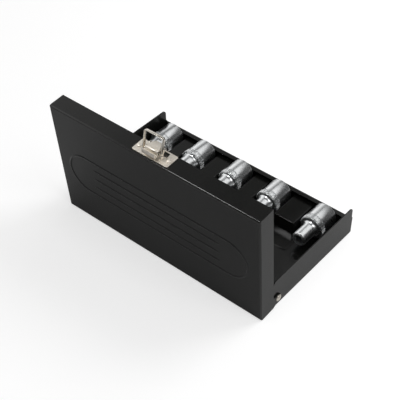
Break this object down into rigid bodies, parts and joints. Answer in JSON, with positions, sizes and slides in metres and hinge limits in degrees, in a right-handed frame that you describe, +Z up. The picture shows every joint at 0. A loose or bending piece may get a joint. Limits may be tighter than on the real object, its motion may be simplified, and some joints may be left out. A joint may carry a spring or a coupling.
{
  "type": "hinged socket case",
  "caption": "Folded sheet-steel case with a hinged lid, toggle latch and catch, holding star-end sockets lying between raised dividers.",
  "frame": {"origin": "middle of the tray's flat underside", "axes": "+Z up, +X along the case, +Y towards the latch and catch side; the lid is stored open, leaning back past upright"},
  "size_m": [0.1974, 0.1324, 0.1247],
  "materials": {
    "case": "black enamel, satin gloss",
    "holder": "black enamel, glossy",
    "socket": "satin chrome plate with polished ends",
    "latch": "bright nickel plate",
    "rivet": "bright nickel plate"
  },
  "bodies": {
    "case": {"base_tray": "case", "holder_plate": "holder", "divider_1": "holder", "divider_2": "holder", "divider_3": "holder", "divider_4": "holder", "hinge_rivet_left": "rivet", "hinge_rivet_right": "rivet", "catch_plate": "latch", "catch_rivets": "rivet"},
    "lid": {"lid": "case", "latch_plate": "latch", "latch_rivets": "rivet", "lever_pin": "rivet"},
    "lever": {"latch_lever": "latch"},
    "bail": {"latch_bail": "latch"},
    "socket_1": {"socket_1": "socket"},
    "socket_2": {"socket_2": "socket"},
    "socket_3": {"socket_3": "socket"},
    "socket_4": {"socket_4": "socket"},
    "socket_5": {"socket_5": "socket"}
  },
  "joints": [
    {"name": "lid_hinge", "type": "hinge", "parent": "case", "child": "lid", "pos_m": [0, -0.0464, 0.0088], "axis": [1, 0, 0], "range_deg": [-95, 0]},
    {"name": "lever_pivot", "type": "hinge", "parent": "lid", "child": "lever", "pos_m": [0, -0.06456, 0.11081], "axis": [-1, 0, 0], "range_deg": [0, 90]},
    {"name": "bail_pivot", "type": "hinge", "parent": "lever", "child": "bail", "pos_m": [0, -0.06951, 0.10997], "axis": [1, 0, 0], "range_deg": [-80.2, 85]},
    {"name": "socket_1_lift", "type": "slide", "parent": "case", "child": "socket_1", "axis": [0, 0, 1], "range_m": [0, 0.045]},
    {"name": "socket_2_lift", "type": "slide", "parent": "case", "child": "socket_2", "axis": [0, 0, 1], "range_m": [0, 0.045]},
    {"name": "socket_3_lift", "type": "slide", "parent": "case", "child": "socket_3", "axis": [0, 0, 1], "range_m": [0, 0.045]},
    {"name": "socket_4_lift", "type": "slide", "parent": "case", "child": "socket_4", "axis": [0, 0, 1], "range_m": [0, 0.045]},
    {"name": "socket_5_lift", "type": "slide", "parent": "case", "child": "socket_5", "axis": [0, 0, 1], "range_m": [0, 0.045]}
  ]
}
